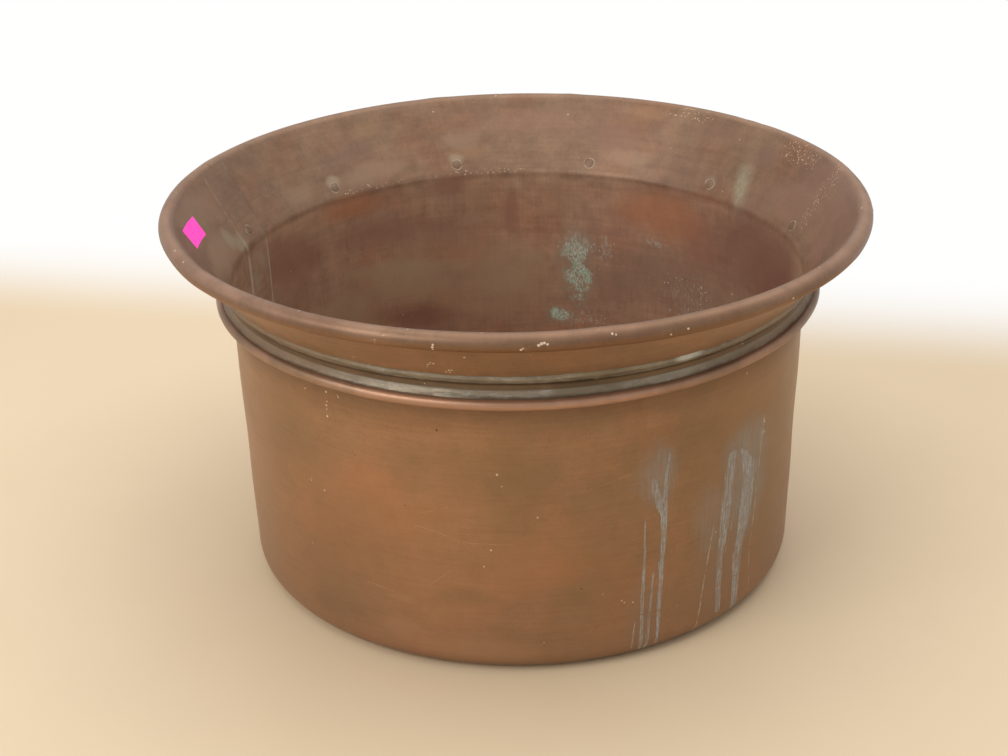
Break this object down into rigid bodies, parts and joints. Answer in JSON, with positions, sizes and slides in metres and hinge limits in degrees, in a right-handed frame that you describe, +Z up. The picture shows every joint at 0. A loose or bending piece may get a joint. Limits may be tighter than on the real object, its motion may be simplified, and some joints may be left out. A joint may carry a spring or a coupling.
{
  "type": "laundry copper boiler",
  "caption": "Round hand-made copper wash boiler with a flat bottom, a splayed collar with a rolled edge, and a riveted and soldered ledge ring with a bead outside the neck.",
  "frame": {"origin": "centre of the flat bottom, on the surface that the boiler stands on", "axes": "+Z up along the pan's axis; +X to the right and +Y away from the viewer of the picture"},
  "size_m": [0.8516, 0.8516, 0.4607],
  "materials": {
    "copper": "tarnished satin copper, mottled brown",
    "ledge_copper": "dull olive-brown copper",
    "rivet_copper": "dull brown copper",
    "spelter": "filed brazing brass, tarnished",
    "solder": "dull grey-green soft solder",
    "iron": "black iron rod",
    "pink_paper": "matt fluorescent paper"
  },
  "bodies": {
    "root": {"body_sheet": "copper", "base_pan": "copper", "base_braze": "spelter", "seam_strap": "copper", "rim_rod": "iron", "ledge_ring": "ledge_copper", "ledge_rod": "iron", "upper_solder": "solder", "lower_solder": "solder", "rivet_01": "rivet_copper", "rivet_02": "rivet_copper", "rivet_03": "rivet_copper", "rivet_04": "rivet_copper", "rivet_05": "rivet_copper", "rivet_06": "rivet_copper", "rivet_07": "rivet_copper", "rivet_08": "rivet_copper", "rivet_09": "rivet_copper", "rivet_10": "rivet_copper", "rivet_11": "rivet_copper", "rivet_12": "rivet_copper", "lot_sticker": "pink_paper"}
  },
  "joints": []
}
